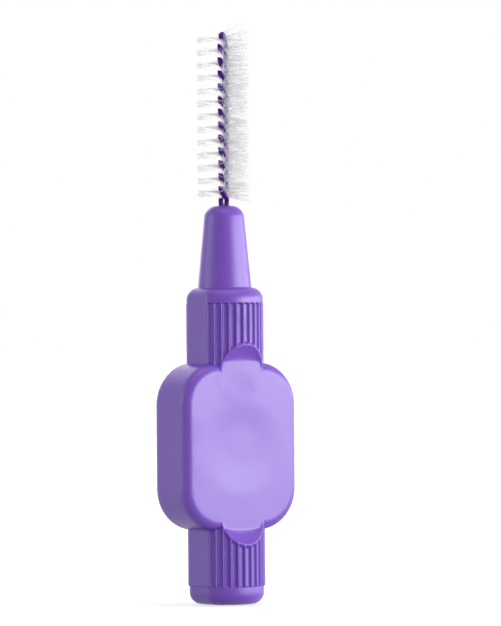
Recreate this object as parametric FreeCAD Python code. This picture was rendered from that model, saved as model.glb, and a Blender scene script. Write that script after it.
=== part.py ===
import FreeCAD, Part
import math
import os

from FreeCAD import Vector

# An interdental brush, standing upright: the flat end of its tail is at z = 0 and the wire points up.
# X runs across the grip pad, and -Y is the face that the thumb presses.
# A moulded handle holds one coated wire, folded double and twisted to the left.
# Nylon filaments are clamped between its two strands, so they stand out as a double spiral.
# In use the wire is bent just above the nose. There it is parted by a small gap,
# so that the brush can lean to the front and to the back. Its held ends are straight.
# Sizes are in millimetres, angles in degrees.

# Heights of the handle's stretches, from the tail up
tail_length = 7.4
pad_height = 16.7
neck_length = 7.5
nose_length = 8.1

# Grip pad
pad_width = 13.7
pad_thickness = 5.8
pad_corner_radius = 4.5
pad_edge_radius = 1.0
dish_diameter = 8.8
dish_depth = 0.3
scoop_radius = 2.5

# Collars, above and below the pad: round, with two flats, ribbed front and back
collar_width = 7.0
collar_bulge = 0.73
groove_count = 11
groove_depth = 0.24
groove_share = 0.5
edge_rib_share = 0.22
band_step = 0.12
band_corner_radius = 0.6
band_end_radius = 1.2
tail_band_length = 1.7
neck_band_length = 1.6

# Nose, a blunt cone that the wire leaves
nose_foot_diameter = 5.36
nose_tip_diameter = 3.8
nose_tip_radius = 1.0

# Wire
strand_diameter = 0.48
strand_sides = 6
twist_pitch = 2.566
arc_turn = 84
wire_reach = 17.5
wire_embedded = 5.0
bend_rise = 0.38
bend_gap = 0.14
loop_rise = 0.36
socket_clearance = 0.02
socket_end_clearance = 0.05

# Bristles
filament_thickness = 0.09
filaments_per_row = 10
clamp_clearance = 0.012
brush_diameter = 5.3
bare_neck = 0.85

# Heights worked out from the sizes above
pad_bottom = tail_length
pad_top = pad_bottom + pad_height
pad_middle = (pad_bottom + pad_top) / 2
neck_top = pad_top + neck_length
nose_top = neck_top + nose_length
bend_height = nose_top + bend_rise
wire_top = nose_top + wire_reach
loop_foot = wire_top - strand_diameter / 2 - loop_rise

# Radii worked out from the sizes above
collar_diameter = collar_width + collar_bulge
collar_radius = collar_diameter / 2
face_depth = pad_thickness / 2
strand_radius = strand_diameter / 2
twist_radius = strand_radius + filament_thickness / 2 + clamp_clearance
socket_radius = twist_radius + strand_radius + socket_clearance

UP = Vector(0, 0, 1)
ORIGIN = Vector(0, 0, 0)


def line(start, end):
    return Part.LineSegment(start, end).toShape()


def arc(start, middle, end):
    return Part.Arc(start, middle, end).toShape()


def around(radius, angle):
    """The point at this radius, turned by angle from the front of the handle towards +X."""
    turn = math.radians(angle)
    return Vector(radius * math.sin(turn), -radius * math.cos(turn), 0)


def turned(edge, angle):
    """A copy of an edge, turned about the handle's axis."""
    copy = edge.copy()
    copy.rotate(ORIGIN, UP, angle)
    return copy


def two_sided_face(front_edges):
    """A section made of front edges from left to right, the same turned to the back, and two flats."""
    back_edges = [turned(edge, 180) for edge in front_edges]
    left = front_edges[0].Vertexes[0].Point
    right = front_edges[-1].Vertexes[-1].Point
    flats = [line(right, -left), line(-right, left)]
    return Part.Face(Part.Wire([*front_edges, flats[0], *back_edges, flats[1]]))


def rim(radius, start, end):
    """The arc round the axis from one angle to another."""
    return arc(around(radius, start), around(radius, (start + end) / 2), around(radius, end))


def ribbed_section():
    """A collar's section: ribs parted by grooves across the front and back, and a flat on each side."""
    corner_angle = math.degrees(math.asin(collar_width / collar_diameter))
    pitch = corner_angle / (groove_count / 2 + edge_rib_share)
    half_groove = groove_share * pitch / 2
    edges = []
    rib_start = -corner_angle
    for index in range(groove_count):
        groove = (index - (groove_count - 1) / 2) * pitch
        bottom = around(collar_radius - groove_depth, groove)
        edges.append(rim(collar_radius, rib_start, groove - half_groove))
        edges.append(line(around(collar_radius, groove - half_groove), bottom))
        rib_start = groove + half_groove
        edges.append(line(bottom, around(collar_radius, rib_start)))
    edges.append(rim(collar_radius, rib_start, corner_angle))
    return two_sided_face(edges)


def plain_section():
    """The smooth section at a collar's free end, a small step inside the ribs."""
    radius = collar_radius - band_step
    half_width = collar_width / 2 - band_step
    corner_angle = math.degrees(math.asin(half_width / radius))
    return two_sided_face([rim(radius, -corner_angle, corner_angle)])


def prism(face, low, high):
    solid = face.extrude(Vector(0, 0, high - low))
    solid.translate(Vector(0, 0, low))
    return solid


def upright_edges(solid):
    return [edge for edge in solid.Edges if abs(edge.tangentAt(edge.FirstParameter).z) > 0.99]


def level_edges(solid, level):
    tolerance = 1e-6
    return [e for e in solid.Edges if all(abs(v.Z - level) < tolerance for v in e.Vertexes)]


def smooth_band(low, high, rounded_level):
    """A collar's smooth end, with its rim at rounded_level rounded over."""
    band = prism(plain_section(), low, high)
    band = band.makeFillet(band_corner_radius, upright_edges(band))
    return band.makeFillet(band_end_radius, level_edges(band, rounded_level))


def tail():
    """The collar below the pad, from its flat end to the middle of the pad."""
    ribs = prism(ribbed_section(), tail_band_length, pad_middle)
    return ribs.fuse(smooth_band(0, pad_bottom, 0))


def neck():
    """The collar above the pad, from the middle of the pad to its rounded shoulder."""
    ribs = prism(ribbed_section(), pad_middle, neck_top - neck_band_length)
    return ribs.fuse(smooth_band(pad_top, neck_top, neck_top))


def pad():
    """The rounded plate that the fingers hold, before its faces are worked."""
    half = pad_width / 2
    inner = half - pad_corner_radius
    low = pad_bottom + pad_corner_radius
    high = pad_top - pad_corner_radius
    bulge = pad_corner_radius * math.sqrt(0.5)

    def at(x, z):
        return Vector(x, -face_depth, z)

    outline = [
        line(at(-inner, pad_bottom), at(inner, pad_bottom)),
        arc(at(inner, pad_bottom), at(inner + bulge, low - bulge), at(half, low)),
        line(at(half, low), at(half, high)),
        arc(at(half, high), at(inner + bulge, high + bulge), at(inner, pad_top)),
        line(at(inner, pad_top), at(-inner, pad_top)),
        arc(at(-inner, pad_top), at(-inner - bulge, high + bulge), at(-half, high)),
        line(at(-half, high), at(-half, low)),
        arc(at(-half, low), at(-inner - bulge, low - bulge), at(-inner, pad_bottom)),
    ]
    plate = Part.Face(Part.Wire(outline)).extrude(Vector(0, pad_thickness, 0))
    rims = [e for e in plate.Edges if abs(e.Vertexes[0].Y - e.Vertexes[1].Y) < face_depth]
    return plate.makeFillet(pad_edge_radius, rims)


def thumb_scoop(side):
    """What is cut from a face, -1 in front and 1 behind: it levels the collars with the pad,
    and runs out of each collar along an arc."""
    near = side * face_depth
    middle = side * (face_depth + scoop_radius)
    far = side * (face_depth + 2 * scoop_radius)

    def at(y, z):
        return Vector(-pad_width / 2, y, z)

    outline = [
        line(at(near, pad_bottom), at(near, pad_top)),
        arc(at(near, pad_top), at(middle, pad_top + scoop_radius), at(far, pad_top)),
        line(at(far, pad_top), at(far, pad_bottom)),
        arc(at(far, pad_bottom), at(middle, pad_bottom - scoop_radius), at(near, pad_bottom)),
    ]
    return Part.Face(Part.Wire(outline)).extrude(Vector(pad_width, 0, 0))


def thumb_dish(side):
    """The ball that hollows a face of the pad, -1 in front and 1 behind."""
    half = dish_diameter / 2
    ball_radius = (half**2 + dish_depth**2) / (2 * dish_depth)
    centre = Vector(0, side * (face_depth - dish_depth + ball_radius), pad_middle)
    return Part.makeSphere(ball_radius, centre)


def nose():
    """The cone above the neck, rooted as deep in the shoulder as the shoulder's rounding."""
    foot_radius = nose_foot_diameter / 2
    tip_radius = nose_tip_diameter / 2
    slope = (foot_radius - tip_radius) / nose_length
    root = neck_top - band_end_radius
    root_radius = foot_radius + slope * band_end_radius
    cone = Part.makeCone(root_radius, tip_radius, nose_top - root, Vector(0, 0, root))
    return cone.makeFillet(nose_tip_radius, level_edges(cone, nose_top))


def handle():
    """The one-piece moulding, with the socket that closes on the wire."""
    depth = wire_embedded + socket_end_clearance
    socket = Part.makeCylinder(socket_radius, depth, Vector(0, 0, nose_top - depth))
    body = pad().fuse([tail(), neck()])
    body = body.cut([thumb_scoop(-1), thumb_scoop(1), thumb_dish(-1), thumb_dish(1)])
    return body.fuse(nose()).cut(socket).removeSplitter()


def strand_angle(z):
    """The direction, in radians from +X, of the first strand at height z: +X at the bend, then leftwards."""
    return 2 * math.pi * (bend_height - z) / twist_pitch


def strand_point(z, turn):
    """The middle of a strand at height z. The second strand is the first one turned by half a turn."""
    angle = strand_angle(z) + turn
    return Vector(twist_radius * math.cos(angle), twist_radius * math.sin(angle), z)


def strand_tangent(z, turn):
    """The way up along a strand at height z."""
    angle = strand_angle(z) + turn
    swing = 2 * math.pi * twist_radius / twist_pitch
    return Vector(swing * math.sin(angle), -swing * math.cos(angle), 1).normalize()


def arc_from_tangent(start, tangent, end):
    """The arc that leaves start along tangent and ends at end."""
    chord = end - start
    weight = math.cos(chord.getAngle(tangent))
    corner = start + tangent * (chord.Length / (2 * weight))
    middle = (start + end + corner * (2 * weight)) * (1 / (2 + 2 * weight))
    return arc(start, middle, end)


def biarc(start, leave, end, arrive):
    """Two arcs that leave start along one tangent and reach end along another."""
    chord = end - start
    spread = 2 * (1 - leave.dot(arrive))
    along = chord.dot(leave + arrive)
    reach = (math.sqrt(along**2 + spread * chord.dot(chord)) - along) / spread
    joint = (start + end + (leave - arrive) * reach) * 0.5
    joint_tangent = (end - arrive * reach - joint).normalize()
    return [arc_from_tangent(start, leave, joint), arc_from_tangent(joint, joint_tangent, end)]


def climb(low, high, turn):
    """A strand's centre line from one height up to another, two arcs for each arc_turn or less."""
    steps = math.ceil(360 * (high - low) / twist_pitch / arc_turn)
    heights = [low + (high - low) * step / steps for step in range(steps + 1)]
    points = [(strand_point(z, turn), strand_tangent(z, turn)) for z in heights]
    return [edge for foot, head in zip(points, points[1:]) for edge in biarc(*foot, *head)]


def loop():
    """The centre line over the tip, from the first strand to the second."""
    over = Vector(-math.cos(strand_angle(loop_foot)), -math.sin(strand_angle(loop_foot)), 0)
    apex = Vector(0, 0, loop_foot + loop_rise)
    up = biarc(strand_point(loop_foot, 0), strand_tangent(loop_foot, 0), apex, over)
    down = biarc(apex, over, strand_point(loop_foot, math.pi), -strand_tangent(loop_foot, math.pi))
    return up + down


def tube(edges, tangent):
    """Coated wire, drawn with flat sides, along a centre line that sets out along tangent."""
    start = edges[0].Vertexes[0].Point
    level = Vector(0, 1, 0).cross(tangent).normalize()
    steep = tangent.cross(level)
    corners = []
    for side in range(strand_sides + 1):
        turn = 2 * math.pi * side / strand_sides
        corners.append(start + (level * math.cos(turn) + steep * math.sin(turn)) * strand_radius)
    return Part.Wire(edges).makePipeShell([Part.makePolygon(corners)], True, False)


def wire_stem():
    """The wire above the bend: up one strand, over the tip and down the other."""
    dip = strand_radius * math.sin(strand_tangent(bend_height, 0).getAngle(UP))
    foot = nose_top + bend_gap + dip
    down = Part.Wire(climb(foot, loop_foot, math.pi)).OrderedEdges[::-1]
    edges = climb(foot, loop_foot, 0) + loop() + down
    print(f"wire_stem: least bend radius {min(edge.Curve.Radius for edge in edges):.3f} mm")
    return tube(edges, strand_tangent(foot, 0))


def wire_root():
    """The two cut ends of the wire, straight and level with the top of the nose that holds them."""
    ends = []
    for turn in (0, math.pi):
        head = strand_point(bend_height, turn) - UP * bend_rise
        ends.append(tube([line(head - UP * wire_embedded, head)], UP))
    return Part.makeCompound(ends)


def filament(z):
    """One nylon filament: a square rod between the strands at height z, with a flat to each strand."""
    angle = strand_angle(z)
    to_strand = Vector(math.cos(angle), math.sin(angle), 0) * filament_thickness
    along = Vector(-math.sin(angle), math.cos(angle), 0) * brush_diameter
    rise = UP * filament_thickness
    corner = Vector(0, 0, z) - (to_strand + along + rise) * 0.5
    square = Part.makePolygon([corner, corner + to_strand, corner + to_strand + rise, corner + rise, corner])
    return Part.Face(square).extrude(along)


def bristle_rows():
    """The filaments in order from the nose to the tip, a row for each half turn of the wire."""
    spacing = twist_pitch / 2 / filaments_per_row
    lowest = nose_top + bare_neck
    highest = loop_foot
    count = int((highest - lowest) / spacing) + 1
    rows = []
    for index in range(count):
        if index % filaments_per_row == 0:
            rows.append([])
        rows[-1].append(filament(lowest + index * spacing))
    return [Part.makeCompound(row) for row in rows]


def main():
    os.makedirs("parts", exist_ok=True)
    nodes = {"handle": handle(), "wire_root": wire_root(), "wire_stem": wire_stem()}
    for number, row in enumerate(bristle_rows(), 1):
        nodes[f"bristle_row_{number:02d}"] = row
    for name, shape in nodes.items():
        print(f"{name}: {len(shape.Solids)} solids, {shape.Volume:.3f} mm3, valid {shape.isValid()}")
        shape.exportStep(f"parts/{name}.step")


main()
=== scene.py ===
import math

import bpy
import numpy as np
from mathutils import Matrix, Vector

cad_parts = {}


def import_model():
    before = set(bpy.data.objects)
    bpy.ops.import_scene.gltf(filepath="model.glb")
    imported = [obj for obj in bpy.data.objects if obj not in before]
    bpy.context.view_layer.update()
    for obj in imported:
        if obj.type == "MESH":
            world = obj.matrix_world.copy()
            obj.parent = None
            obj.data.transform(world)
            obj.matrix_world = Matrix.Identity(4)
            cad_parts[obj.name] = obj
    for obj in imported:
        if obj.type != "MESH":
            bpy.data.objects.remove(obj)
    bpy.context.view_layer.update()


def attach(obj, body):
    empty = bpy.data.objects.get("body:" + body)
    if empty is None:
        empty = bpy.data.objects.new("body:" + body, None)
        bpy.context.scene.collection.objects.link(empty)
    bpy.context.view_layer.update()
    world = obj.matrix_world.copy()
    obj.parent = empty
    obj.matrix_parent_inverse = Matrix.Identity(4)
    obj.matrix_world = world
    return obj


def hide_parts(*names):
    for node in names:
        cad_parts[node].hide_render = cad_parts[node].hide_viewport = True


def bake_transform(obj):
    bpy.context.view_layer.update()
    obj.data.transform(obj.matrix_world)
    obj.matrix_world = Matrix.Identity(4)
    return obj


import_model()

# Sizes of the brush are in millimetres until a mesh is made, and the main ones are those of the CAD model
MM = 0.001
TINY = 1e-6
SEED = 5

# Grip pad
PAD_HEIGHT = 16.7
PAD_WIDTH = 13.7
PAD_THICKNESS = 5.8
PAD_CORNER = 4.2
PAD_EDGE = 1.0
PAD_JOIN = 0.012
DISH_RADIUS = 4.9
DISH_DEPTH = 0.15
DISH_FLAT_SHARE = 0.3
DISH_RIM_SHARE = 1.04
DISH_WIDEST_ANGLE = 1.2

# Scoops, where the pad's faces run out into the collars
SCOOP_RADIUS = 2.42
NECK_SCOOP_SINK = 0.7
TAIL_SCOOP_SINK = 1.1
NECK_SCOOP_FLAT = 0.15
TAIL_SCOOP_FLAT = -0.25
SCOOP_LEAST_RISE = 0.2
SCOOP_ARCH = 1.8
SCOOP_WALL_SLOPE = 2
SCOOP_CORNER = 0.14
SCOOP_FADE = (0.1 * PAD_EDGE, 1.2 * PAD_EDGE)
COLLAR_SINK = 0.5
COLLAR_SINK_END = 3 * PAD_EDGE

# Collars
TAIL_LENGTH = 7.4
NECK_LENGTH = 7.5
COLLAR_WIDTH = 7.0
COLLAR_DIAMETER = 7.73
COLLAR_FLAT_CORNER = 0.16
GROOVES = 11
GROOVE_DEPTH = 0.27
RIB_SHARPNESS = 7
RIB_FADE = (SCOOP_RADIUS + 0.1, SCOOP_RADIUS + 0.4)
EDGE_RIB = 0.22
TAIL_STEP = 0.15
NECK_STEP = 0.05
STEP_ON_BAND = 0.12
STEP_ON_RIBS = 0.06
BAND_ROUNDING = 1.2
TAIL_BAND = 1.85
NECK_BAND = 1.6

# Nose
NOSE_LENGTH = 8.1
NOSE_FOOT = 5.36
NOSE_TIP = 3.8
NOSE_ROUNDING = 1.25
NOSE_CURVE = 1.1
NOSE_DOME = 0.1

# Wire
STRAND_RADIUS = 0.25
STRAND_SIDES = 14
TWIST_RADIUS = 0.297
TWIST_PITCH = 2.566
WIRE_REACH = 17.5
WIRE_HELD = 1.2
WIRE_POINT_STEP = 0.05
BEND_RISE = 0.38
LOOP_RISE = 0.36
LOOP_POINTS = 18
LOOP_FIRST = 0.08
LOOP_TWIST = 0.75
STRAIGHT_RISE = 0.6
NECK_CLOSING = 0.05

# Bristles: neat rows on one side, ruffled ones on the other
BARE_NECK = 0.85
BRUSH_RADIUS = 2.65
ROWS = 13
FILAMENTS_PER_ROW = 190
FILAMENT_RADIUS = 0.021
FILAMENT_SIDES = 4
FILAMENT_STATIONS = np.array([0.02, 0.2, 0.45, 0.72, 0.97, 1.0])
FILAMENT_TAPER = np.array([1, 1, 1, 1, 0.9, 0.35])
FILAMENT_FLARE = 0.6
FILAMENT_BOW = 0.1
FILAMENT_SHORTER = 0.1
FILAMENT_LONGER = 0.05
RUFFLED_SIDE = math.radians(-35)
RUFFLED_FROM = -0.1
RUFFLED_TO = 0.6
NEAT_TURN = 0.12
RUFFLED_TURN = 0.45
NEAT_SPREAD = 0.3
NEAT_UNEVENNESS = 0.4
TUFT_GATHER = 0.7
DROOP_LIMIT = 0.5
TIP_LIFT = 0.5
TIP_SHARE = 0.95
HIGH_LIFT = 0.5
HIGH_TRIM = 0.5

# Heights that follow
PAD_LOW = TAIL_LENGTH
PAD_TOP = PAD_LOW + PAD_HEIGHT
PAD_MID = (PAD_LOW + PAD_TOP) / 2
NECK_TOP = PAD_TOP + NECK_LENGTH
NECK_BAND_LOW = NECK_TOP - NECK_BAND
NOSE_TOP = NECK_TOP + NOSE_LENGTH
DOME_TOP = NOSE_TOP + NOSE_DOME
WIRE_TOP = NOSE_TOP + WIRE_REACH
BEND = NOSE_TOP + BEND_RISE
TWIST_LOW = NOSE_TOP + STRAIGHT_RISE
LOOP_FOOT = WIRE_TOP - STRAND_RADIUS - LOOP_RISE
FACE = PAD_THICKNESS / 2
RIB_PITCH = math.asin(COLLAR_WIDTH / COLLAR_DIAMETER) / (GROOVES / 2 + EDGE_RIB)

# How closely the meshes follow their shapes
ROUNDING_RINGS = 13
SHOULDER_RINGS = 30
SHOULDER_FIRST = 0.14
SCOOP_RINGS = 28
PAD_RINGS = 36
SEAT_RINGS = 14
EDGE_RINGS = 10
PLAIN_RINGS = 8
STEP_ZONE = 0.2
SEAT_ZONE = (NECK_TOP - 0.3, NECK_TOP + 0.1)
LEAST_RING_GAP = 0.014
LEVEL_DIGITS = 4
RIB_COLUMNS = np.array([0, 0.05, 0.1, 0.15, 0.21, 0.29, 0.4])
FLAT_COLUMNS = np.radians(np.arange(68.8, 111.5, 1.55))
TAIL_END_SHARES = (0.15, 0.5, 0.85)
SOCKET_LIP = ((0.9, 0.02), (0.86, 0.01), (0.85, -0.02), (0.85, -0.8))
HALVINGS = 26
TUBE_START = (0.3, 0.5, 0.8)

# Handle's plastic: depths are in metres, and a larger noise scale is a finer pattern
HANDLE_TONES = ((0.127, 0.033, 0.417), (0.147, 0.043, 0.446))
HANDLE_TONE_SCALE = 260
HANDLE_ROUGHNESS = (0.36, 0.46)
HANDLE_SPECULAR = 0.75
GRAIN_SCALE = 5200
GRAIN_DEPTH = 0.00002
GRAIN_STRENGTH = 0.12
PATCH_SCALE = 230
PATCH_EDGE = (0.54, 0.68)
FROST_SCALE = 12000
FROST_DEPTH = 0.00004
FROST_STRENGTH = (0, 0.55)

# Wire's coating
WIRE_TONES = ((0.042, 0.0005, 0.140), (0.075, 0.001, 0.240))
WIRE_ROUGHNESS = 0.36
WIRE_SPECULAR = 0.15
WAVE_SCALE = 1800
WAVE_DEPTH = 0.00001
WAVE_STRENGTH = 0.1

# Nylon, less clear close to the wire
NYLON_TONES = ((0.80, 0.80, 0.80), (0.88, 0.88, 0.88))
NYLON_TONE_SCALE = 900
NYLON_ROUGHNESS = 0.4
NYLON_TRANSMISSION = 0.3
NYLON_DENSE_ZONE = (0.0005, 0.0011)
NYLON_ALPHA = (0.85, 0.36)

# Floor and surroundings, in metres
WHITE = (1, 1, 1, 1)
FLOOR_GREY = (0.4, 0.4, 0.4, 1)
FLOOR_SIZE = 6
FLOOR_LEVEL = -0.0001
FLOOR_GLOW_ZONE = (0, 0.12)
FLOOR_GLOW = (0.68, 1)
WORLD_STRENGTH = (0.5, 1)

# Lamps: name, azimuth, elevation, distance, size and power, in degrees, metres and watts
LAMP_AIM = Vector((0, 0, 0.03))
LAMPS = (
    ("key", 50, 3, 0.3, (0.6, 0.16), 1.38),
    ("low", 32, 1, 0.25, (0.16, 0.06), 0.22),
    ("fill", -116, 5, 0.5, (0.25, 0.4), 0.7),
    ("back", 165, 15, 0.5, (0.3, 0.3), 0.6),
    ("top", 0, 80, 0.5, (0.4, 0.4), 0.6),
)

# Camera, in millimetres
LENS = 300
SENSOR = 36
FRAME_HEIGHT = 62.6
YAW = math.radians(35)
ROLL = math.radians(0.45)
CAMERA_ASIDE = 2.58
CAMERA_LEVEL = 29.05
CLIP_START = 10

rng = np.random.default_rng(SEED)


def smooth_min(a, b, k):
    """The smaller of two lengths, with the corner between them rounded by about k."""
    h = np.clip(0.5 + 0.5 * (b - a) / k, 0, 1)
    return b + (a - b) * h - k * h * (1 - h)


def smooth_max(a, b, k):
    """The larger of two lengths, with the corner between them filled by about k."""
    return -smooth_min(-a, -b, k)


def ease(x, start, end):
    """0 before start, 1 after end, and smooth between them."""
    t = np.clip((x - start) / (end - start), 0, 1)
    return t * t * (3 - 2 * t)


def up_to_one(low, share):
    """A value that grows from low to 1 with share."""
    return low + (1 - low) * share


def from_middle(theta):
    """Angle from the middle of the nearer face, front or back."""
    return (theta + math.pi / 2) % math.pi - math.pi / 2


def tail_or_neck(z, tail, neck):
    """One value below the pad's middle, and another above it."""
    return np.where(z < PAD_MID, tail, neck)


def from_scoop(theta, z):
    """Distance from the middle of the nearer scoop, as seen from in front."""
    x = COLLAR_DIAMETER / 2 * np.sin(theta)
    sink = tail_or_neck(z, TAIL_SCOOP_SINK, NECK_SCOOP_SINK)
    beyond = np.abs(z - PAD_MID) - PAD_HEIGHT / 2 + sink
    return np.hypot(x, np.maximum(beyond, 0))


def collar_reach(theta, z):
    """How far the collars stand from the axis: ribbed, with flats, and smooth and rounded at the end."""
    ribbed = ease(z, TAIL_BAND - STEP_ON_BAND, TAIL_BAND + STEP_ON_RIBS)
    ribbed = ribbed * (1 - ease(z, NECK_BAND_LOW - STEP_ON_RIBS, NECK_BAND_LOW + STEP_ON_BAND))
    end = np.minimum(z, NECK_TOP - z)
    rounding = np.clip(BAND_ROUNDING - end, 0, BAND_ROUNDING)
    step = tail_or_neck(z, TAIL_STEP, NECK_STEP)
    inset = step * (1 - ribbed) + BAND_ROUNDING - np.sqrt(BAND_ROUNDING**2 - rounding**2)
    share = from_middle(theta) / RIB_PITCH
    groove = (1 - np.abs(np.sin(math.pi * share)) ** RIB_SHARPNESS) * (np.abs(share) < GROOVES / 2)
    groove = groove * ease(from_scoop(theta, z), *RIB_FADE)
    round_side = COLLAR_DIAMETER / 2 - inset - GROOVE_DEPTH * groove * ribbed
    flat_side = (COLLAR_WIDTH / 2 - inset) / np.maximum(np.abs(np.sin(theta)), TINY)
    reach = smooth_min(round_side, flat_side, COLLAR_FLAT_CORNER)
    return np.where((z < -TINY) | (z > NECK_TOP + TINY), 0, reach)


def scoop_limit(theta, z):
    """How far from the middle plane the thumb scoops leave the collars standing."""
    x = np.minimum(COLLAR_DIAMETER / 2 * np.abs(np.sin(theta)), SCOOP_RADIUS)
    height = np.sqrt(COLLAR_DIAMETER**2 / 4 - x**2) - FACE
    beyond = np.abs(z - PAD_MID) - PAD_HEIGHT / 2
    flat = tail_or_neck(z, TAIL_SCOOP_FLAT, NECK_SCOOP_FLAT)
    rim = np.sqrt(SCOOP_RADIUS**2 - x**2) - tail_or_neck(z, TAIL_SCOOP_SINK, NECK_SCOOP_SINK)
    climb = np.clip((beyond - flat) / np.maximum(rim - flat, SCOOP_LEAST_RISE), 0, 1)
    wall = np.maximum(from_scoop(theta, z) - SCOOP_RADIUS, 0)
    ramp = height * climb**SCOOP_ARCH + SCOOP_WALL_SLOPE * wall
    faded = 1 - ease(-beyond, *SCOOP_FADE)
    sunk = COLLAR_SINK * ease(-beyond, PAD_EDGE, COLLAR_SINK_END)
    return FACE + ramp * faded - sunk


def pad_distance(x, y, z):
    """Signed distance to the rounded plate."""
    qx = np.abs(x) - PAD_WIDTH / 2 + PAD_CORNER
    qz = np.abs(z - PAD_MID) - PAD_HEIGHT / 2 + PAD_CORNER
    corner = np.hypot(np.maximum(qx, 0), np.maximum(qz, 0))
    outline = corner + np.minimum(np.maximum(qx, qz), 0) - PAD_CORNER
    a = outline + PAD_EDGE
    b = np.abs(y) - FACE + PAD_EDGE
    return np.hypot(np.maximum(a, 0), np.maximum(b, 0)) + np.minimum(np.maximum(a, b), 0) - PAD_EDGE


def pad_reach(theta, z):
    """How far the plate stands from the axis, found by halving along each ray."""
    low = np.zeros_like(theta)
    high = np.full_like(theta, PAD_WIDTH)
    for _ in range(HALVINGS):
        half = (low + high) / 2
        inside = pad_distance(half * np.sin(theta), -half * np.cos(theta), z) < 0
        low = np.where(inside, half, low)
        high = np.where(inside, high, half)
    return low


def dish(theta, z):
    """How deep the thumb dish is where a ray meets the face, faded out at its rim."""
    x = FACE * np.tan(np.clip(np.abs(from_middle(theta)), 0, DISH_WIDEST_ANGLE))
    share = np.hypot(x, z - PAD_MID) / DISH_RADIUS
    return DISH_DEPTH * (1 - ease(share, DISH_FLAT_SHARE, DISH_RIM_SHARE))


def nose_reach(z):
    """The blunt cone, rounded over at its tip."""
    slope = (NOSE_FOOT - NOSE_TIP) / 2 / NOSE_LENGTH
    cone = NOSE_FOOT / 2 - slope * (z - NECK_TOP)
    climb = np.clip((z - NOSE_TOP - NOSE_DOME) / NOSE_CURVE + 1, 0, 1)
    return cone - NOSE_ROUNDING * (1 - np.sqrt(1 - climb**2))


def handle_reach(theta, z):
    """The whole handle, as distance from the axis."""
    cosine = np.maximum(np.abs(np.cos(theta)), TINY)
    collars = smooth_min(collar_reach(theta, z), scoop_limit(theta, z) / cosine, SCOOP_CORNER)
    reach = smooth_max(collars, pad_reach(theta, z), PAD_JOIN)
    reach = reach - dish(theta, z) / cosine
    nose = np.where(z > NECK_TOP - BAND_ROUNDING, nose_reach(z), 0)
    return np.maximum(reach, nose)


def handle_levels():
    """Heights of the mesh's rings, closest where the outline turns fastest."""
    quarter = np.linspace(0, math.pi / 2, ROUNDING_RINGS)
    end_round = BAND_ROUNDING * (1 - np.cos(quarter))
    shoulder = PAD_CORNER * (1 - np.cos(np.linspace(SHOULDER_FIRST, math.pi / 2, SHOULDER_RINGS)))
    scoop = np.linspace(0, SCOOP_RADIUS, SCOOP_RINGS)
    levels = [
        end_round,
        np.linspace(TAIL_BAND - STEP_ZONE, TAIL_BAND + STEP_ZONE, EDGE_RINGS),
        np.linspace(TAIL_BAND, PAD_LOW, PLAIN_RINGS),
        PAD_LOW - scoop,
        PAD_LOW + shoulder,
        np.linspace(PAD_LOW, PAD_LOW + PAD_EDGE, EDGE_RINGS),
        np.linspace(PAD_LOW, PAD_TOP, PAD_RINGS),
        np.linspace(PAD_TOP - PAD_EDGE, PAD_TOP, EDGE_RINGS),
        PAD_TOP - shoulder,
        PAD_TOP + scoop,
        np.linspace(PAD_TOP, NECK_BAND_LOW, PLAIN_RINGS),
        np.linspace(NECK_BAND_LOW - STEP_ZONE, NECK_BAND_LOW + STEP_ZONE, EDGE_RINGS),
        NECK_TOP - end_round,
        np.linspace(*SEAT_ZONE, SEAT_RINGS),
        np.linspace(NECK_TOP, DOME_TOP - NOSE_CURVE, EDGE_RINGS),
        DOME_TOP - NOSE_CURVE * (1 - np.sin(quarter)),
    ]
    heights = np.unique(np.round(np.concatenate(levels), LEVEL_DIGITS))
    keep = [heights[0]]
    for z in heights[1:]:
        if z - keep[-1] > LEAST_RING_GAP:
            keep.append(z)
    keep[-1] = DOME_TOP
    return np.array(keep)


def handle_angles():
    """Directions of the mesh's columns, closest on the ribs and on the pad's rounded edges."""
    mid_groove = 0.5
    across = np.concatenate([-RIB_COLUMNS[:0:-1], RIB_COLUMNS, [mid_groove]])
    crests = np.arange(GROOVES + 1) - GROOVES / 2
    front = (crests[:, None] + across).ravel()[:-1] * RIB_PITCH
    return np.concatenate([front, FLAT_COLUMNS, front + math.pi, FLAT_COLUMNS + math.pi])


def add_object(name, data):
    """An object for a mesh, lamp or camera, put into the scene."""
    obj = bpy.data.objects.new(name, data)
    bpy.context.scene.collection.objects.link(obj)
    return obj


def mesh_object(name, verts, faces, material):
    """A smooth-shaded mesh from points in millimetres."""
    mesh = bpy.data.meshes.new(name)
    mesh.from_pydata((np.asarray(verts) * MM).tolist(), [], faces)
    mesh.shade_smooth()
    mesh.materials.append(material)
    return add_object(name, mesh)


def ring_faces(rings, columns):
    """Quads between rings of points that close on themselves."""
    faces = []
    for r in range(rings - 1):
        base = r * columns
        for c in range(columns):
            d = (c + 1) % columns
            faces.append((base + c, base + d, base + columns + d, base + columns + c))
    return faces


def handle_body(material):
    """The moulding as one grid of rings, closed at the tail and open at the wire's socket."""
    angles = handle_angles()
    theta, z = np.meshgrid(angles, handle_levels())
    reach = handle_reach(theta, z)
    body = np.stack([reach * np.sin(theta), -reach * np.cos(theta), z], axis=-1)
    tail = [body[:1] * np.array([share, share, 1]) for share in TAIL_END_SHARES]
    circle = np.stack([np.sin(angles), -np.cos(angles), np.zeros_like(angles)], -1) * reach[-1, 0]
    lip = []
    for share, rise in SOCKET_LIP:
        lip.append((circle * share)[None] + np.array([0, 0, DOME_TOP + rise]))
    grid = np.concatenate([*tail, body, *lip])
    faces = ring_faces(len(grid), len(angles))
    faces.append(tuple(reversed(range(len(angles)))))
    return mesh_object("handle_body", grid.reshape(-1, 3), faces, material)


def strand_angle(z):
    """Which way the first strand stands at height z: twisted evenly, and straight just above the nose."""
    return 2 * math.pi * (BEND - np.maximum(z, TWIST_LOW)) / TWIST_PITCH


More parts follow.
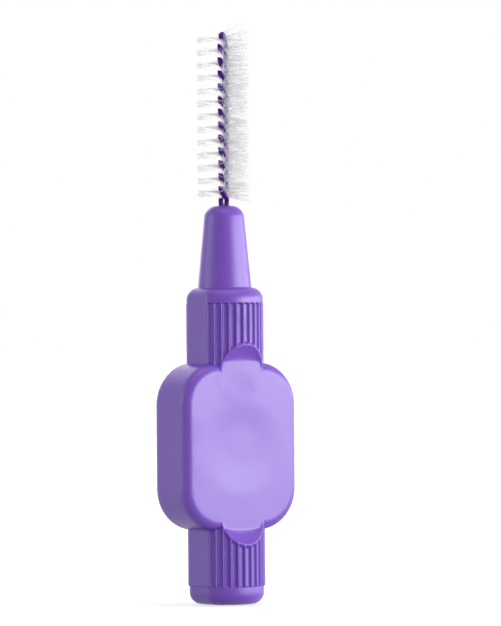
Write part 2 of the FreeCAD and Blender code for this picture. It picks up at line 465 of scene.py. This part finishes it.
def wire_line():
    """The wire's centre line: up one strand, over the tip and down the other."""
    up = np.arange(NOSE_TOP - WIRE_HELD, LOOP_FOOT, WIRE_POINT_STEP)
    angle = strand_angle(up)
    apart = TWIST_RADIUS - NECK_CLOSING * (1 - ease(up, NOSE_TOP, TWIST_LOW))
    first = np.stack([apart * np.cos(angle), apart * np.sin(angle), up], -1)
    second = first * np.array([-1, -1, 1])
    end = strand_angle(LOOP_FOOT)
    loop = []
    for t in np.linspace(LOOP_FIRST, math.pi - LOOP_FIRST, LOOP_POINTS):
        twist = end - LOOP_TWIST * math.sin(t) ** 2 * math.copysign(1, math.cos(t))
        x = TWIST_RADIUS * math.cos(t)
        loop.append((x * math.cos(twist), x * math.sin(twist), LOOP_FOOT + LOOP_RISE * math.sin(t)))
    return np.concatenate([first, loop, second[::-1]])


def tube(points, radii, sides):
    """Points and faces of a round tube along a line, carried without twist."""
    tangents = np.gradient(points, axis=0)
    tangents /= np.linalg.norm(tangents, axis=1)[:, None]
    normal = np.cross(tangents[0], TUBE_START)
    verts = []
    turns = np.linspace(0, 2 * math.pi, sides, endpoint=False)
    for point, tangent, radius in zip(points, tangents, radii):
        normal = normal - tangent * np.dot(normal, tangent)
        normal /= np.linalg.norm(normal)
        side = np.cross(tangent, normal)
        verts.append(point + radius * (np.cos(turns)[:, None] * normal + np.sin(turns)[:, None] * side))
    faces = ring_faces(len(points), sides)
    last = (len(points) - 1) * sides
    faces.append(tuple(reversed(range(sides))))
    faces.append(tuple(range(last, last + sides)))
    return np.concatenate(verts), faces


def coated_wire(material):
    """The whole wire as one tube."""
    points = wire_line()
    verts, faces = tube(points, np.full(len(points), STRAND_RADIUS), STRAND_SIDES)
    return mesh_object("coated_wire", verts, faces, material)


def filament_line(z, angle, reach, lift, bow):
    """The line of one filament's half, from between the strands outwards."""
    t = FILAMENT_STATIONS
    r = t * reach
    bend = bow * t**2
    x = r * np.cos(angle) - bend * np.sin(angle)
    y = r * np.sin(angle) + bend * np.cos(angle)
    return np.stack([x, y, z + lift * t**FILAMENT_FLARE], -1)


def filament_half(share, z, straight_out):
    """One half of a filament, kept near its row on the neat side and freer on the ruffled one."""
    angle = straight_out + rng.normal(0, NEAT_TURN)
    ruffled = ease(math.cos(angle - RUFFLED_SIDE), RUFFLED_FROM, RUFFLED_TO)
    angle += rng.normal(0, RUFFLED_TURN) * ruffled
    spread = up_to_one(NEAT_SPREAD, ruffled)
    aside = math.remainder(angle - RUFFLED_SIDE - math.pi, 2 * math.pi)
    gather = TUFT_GATHER * aside * TWIST_PITCH / (2 * math.pi) * (1 - ruffled)
    lift = gather + rng.uniform(-spread, spread) + TIP_LIFT * ruffled * ease(share, TIP_SHARE, 1)
    lift = max(lift, NOSE_TOP + DROOP_LIMIT - z)
    uneven = up_to_one(NEAT_UNEVENNESS, ruffled) * rng.uniform(-FILAMENT_SHORTER, FILAMENT_LONGER)
    reach = BRUSH_RADIUS * (1 + uneven) - HIGH_TRIM * max(0, lift - HIGH_LIFT)
    points = filament_line(z, angle, reach, lift, rng.normal(0, FILAMENT_BOW))
    return tube(points, FILAMENT_RADIUS * FILAMENT_TAPER, FILAMENT_SIDES)


def bristle_row(number, material):
    """All the filaments of one half turn, each one clamped at its middle."""
    low = NOSE_TOP + BARE_NECK
    verts = []
    faces = []
    total = 0
    for index in range(number * FILAMENTS_PER_ROW, (number + 1) * FILAMENTS_PER_ROW):
        share = (index + rng.uniform(0, 1)) / (ROWS * FILAMENTS_PER_ROW)
        z = low + share * (LOOP_FOOT - low)
        across = strand_angle(z) + math.pi / 2
        for side in (0, math.pi):
            part, part_faces = filament_half(share, z, across + side)
            faces += [tuple(i + total for i in f) for f in part_faces]
            verts.append(part)
            total += len(part)
    return mesh_object(f"bristles_{number + 1:02d}", np.concatenate(verts), faces, material)


def new_material(name):
    """A material, its node tree and its shader."""
    material = bpy.data.materials.new(name)
    material.use_nodes = True
    return material, material.node_tree, material.node_tree.nodes["Principled BSDF"]


def noise(tree, scale, detail=2):
    """Noise that stays with the piece, as a value from 0 to 1."""
    place = tree.nodes.new("ShaderNodeTexCoord")
    node = tree.nodes.new("ShaderNodeTexNoise")
    node.inputs["Scale"].default_value = scale
    node.inputs["Detail"].default_value = detail
    tree.links.new(place.outputs["Object"], node.inputs["Vector"])
    return node.outputs["Fac"]


def tones(tree, value, dark, light):
    """Colours from dark to light, by a value."""
    ramp = tree.nodes.new("ShaderNodeValToRGB")
    ramp.color_ramp.elements[0].color = (*dark, 1)
    ramp.color_ramp.elements[1].color = (*light, 1)
    tree.links.new(value, ramp.inputs["Fac"])
    return ramp.outputs["Color"]


def carried(tree, value, before, after):
    """A value carried from one range to another, and held at its ends."""
    node = tree.nodes.new("ShaderNodeMapRange")
    node.inputs["From Min"].default_value, node.inputs["From Max"].default_value = before
    node.inputs["To Min"].default_value, node.inputs["To Max"].default_value = after
    tree.links.new(value, node.inputs["Value"])
    return node.outputs["Result"]


def bump(tree, height, depth, strength=1):
    """A node that gives the surface a fine relief."""
    node = tree.nodes.new("ShaderNodeBump")
    node.inputs["Distance"].default_value = depth
    node.inputs["Strength"].default_value = strength
    tree.links.new(height, node.inputs["Height"])
    return node


def from_axis(tree):
    """Distance from the piece's upright axis, in metres."""
    place = tree.nodes.new("ShaderNodeTexCoord")
    level = tree.nodes.new("ShaderNodeVectorMath")
    level.operation = "MULTIPLY"
    level.inputs[1].default_value = (1, 1, 0)
    length = tree.nodes.new("ShaderNodeVectorMath")
    length.operation = "LENGTH"
    tree.links.new(place.outputs["Object"], level.inputs[0])
    tree.links.new(level.outputs["Vector"], length.inputs[0])
    return length.outputs["Value"]


def handle_plastic():
    """Lilac polypropylene: satin, with a faint moulded grain, frosted patches and slow changes of tone."""
    material, tree, shader = new_material("handle_plastic")
    colour = tones(tree, noise(tree, HANDLE_TONE_SCALE, detail=3), *HANDLE_TONES)
    grain = noise(tree, GRAIN_SCALE, detail=4)
    gloss = carried(tree, grain, (0, 1), HANDLE_ROUGHNESS)
    moulded = bump(tree, grain, GRAIN_DEPTH, GRAIN_STRENGTH)
    patches = carried(tree, noise(tree, PATCH_SCALE), PATCH_EDGE, FROST_STRENGTH)
    frost = bump(tree, noise(tree, FROST_SCALE, detail=0), FROST_DEPTH)
    tree.links.new(patches, frost.inputs["Strength"])
    tree.links.new(moulded.outputs["Normal"], frost.inputs["Normal"])
    tree.links.new(colour, shader.inputs["Base Color"])
    tree.links.new(gloss, shader.inputs["Roughness"])
    tree.links.new(frost.outputs["Normal"], shader.inputs["Normal"])
    shader.inputs["Specular IOR Level"].default_value = HANDLE_SPECULAR
    return material


def wire_coating():
    """Deep violet plastic drawn thin over the steel."""
    material, tree, shader = new_material("wire_coating")
    wave = noise(tree, WAVE_SCALE)
    drawn = bump(tree, wave, WAVE_DEPTH, WAVE_STRENGTH)
    tree.links.new(tones(tree, wave, *WIRE_TONES), shader.inputs["Base Color"])
    tree.links.new(drawn.outputs["Normal"], shader.inputs["Normal"])
    shader.inputs["Roughness"].default_value = WIRE_ROUGHNESS
    shader.inputs["Specular IOR Level"].default_value = WIRE_SPECULAR
    return material


def nylon():
    """Clear white nylon filament, packed more closely near the wire."""
    material, tree, shader = new_material("nylon")
    colour = tones(tree, noise(tree, NYLON_TONE_SCALE), *NYLON_TONES)
    density = carried(tree, from_axis(tree), NYLON_DENSE_ZONE, NYLON_ALPHA)
    tree.links.new(colour, shader.inputs["Base Color"])
    tree.links.new(density, shader.inputs["Alpha"])
    shader.inputs["Roughness"].default_value = NYLON_ROUGHNESS
    shader.inputs["Transmission Weight"].default_value = NYLON_TRANSMISSION
    return material


def shown(tree):
    """1 for what is seen straight, mirrored or through something clear, and 0 for the light it gives."""
    path = tree.nodes.new("ShaderNodeLightPath")
    result = path.outputs["Is Camera Ray"]
    for kind in ("Is Transmission Ray", "Is Glossy Ray"):
        either = tree.nodes.new("ShaderNodeMath")
        either.operation = "MAXIMUM"
        tree.links.new(result, either.inputs[0])
        tree.links.new(path.outputs[kind], either.inputs[1])
        result = either.outputs[0]
    return result


def floor_white():
    """Pale grey that is shown as white, a little less so round the brush, where its shadow falls."""
    material, tree, shader = new_material("floor_white")
    shader.inputs["Base Color"].default_value = FLOOR_GREY
    shader.inputs["Roughness"].default_value = 1
    shader.inputs["Specular IOR Level"].default_value = 0
    shader.inputs["Emission Color"].default_value = WHITE
    glow = carried(tree, from_axis(tree), FLOOR_GLOW_ZONE, FLOOR_GLOW)
    strength = tree.nodes.new("ShaderNodeMath")
    strength.operation = "MULTIPLY"
    tree.links.new(shown(tree), strength.inputs[0])
    tree.links.new(glow, strength.inputs[1])
    tree.links.new(strength.outputs[0], shader.inputs["Emission Strength"])
    return material


def floor():
    """A plain pale floor that takes the brush's shadow."""
    bpy.ops.mesh.primitive_plane_add(size=FLOOR_SIZE, location=(0, 0, FLOOR_LEVEL))
    plane = bpy.context.object
    plane.name = "floor"
    plane.data.materials.append(floor_white())


def world():
    """Even pale surroundings, plain white where they are seen."""
    surroundings = bpy.data.worlds.new("surroundings")
    bpy.context.scene.world = surroundings
    surroundings.use_nodes = True
    tree = surroundings.node_tree
    background = tree.nodes["Background"]
    background.inputs["Color"].default_value = WHITE
    strength = carried(tree, shown(tree), (0, 1), WORLD_STRENGTH)
    tree.links.new(strength, background.inputs["Strength"])


def softbox(name, azimuth, elevation, distance, size, power):
    """A rectangular lamp, placed round the object as the views are: azimuth 0 is in front."""
    lamp = bpy.data.lights.new(name, "AREA")
    lamp.shape = "RECTANGLE"
    lamp.size, lamp.size_y = size
    lamp.energy = power
    obj = add_object(name, lamp)
    a = math.radians(azimuth)
    e = math.radians(elevation)
    way = Vector((math.sin(a) * math.cos(e), -math.cos(a) * math.cos(e), math.sin(e)))
    obj.visible_camera = False
    obj.location = LAMP_AIM + way * distance
    obj.rotation_euler = (-way).to_track_quat("-Z", "Y").to_euler()


def camera():
    """The photograph's view: level with the brush, and part of the way round to its left."""
    distance = FRAME_HEIGHT * LENS / SENSOR
    back = Vector((-math.sin(YAW), -math.cos(YAW), 0))
    right = Vector((math.cos(YAW), -math.sin(YAW), 0))
    up = Vector((0, 0, 1))
    data = bpy.data.cameras.new("camera")
    data.lens = LENS
    data.sensor_width = SENSOR
    data.clip_start = CLIP_START * MM
    obj = add_object("camera", data)
    place = (back * distance + right * CAMERA_ASIDE + up * CAMERA_LEVEL) * MM
    turn = Matrix((right, up, back)).transposed() @ Matrix.Rotation(-ROLL, 3, "Z")
    obj.matrix_world = Matrix.Translation(place) @ turn.to_4x4()
    bpy.context.scene.camera = obj


def dress():
    """Makes the pieces, and joins the handle and the bristle rows to the bodies that carry them."""
    body = handle_body(handle_plastic())
    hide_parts("handle")
    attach(body, "handle")
    wire = coated_wire(wire_coating())
    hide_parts("wire_root", "wire_stem")
    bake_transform(wire)
    white = nylon()
    for number in range(ROWS):
        row = bristle_row(number, white)
        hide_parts(f"bristle_row_{number + 1:02d}")
        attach(row, "brush_head")
        row.visible_shadow = False
        row.visible_diffuse = False


dress()
floor()
world()
for lamp_values in LAMPS:
    softbox(*lamp_values)
camera()
bpy.context.scene.view_settings.view_transform = "Standard"
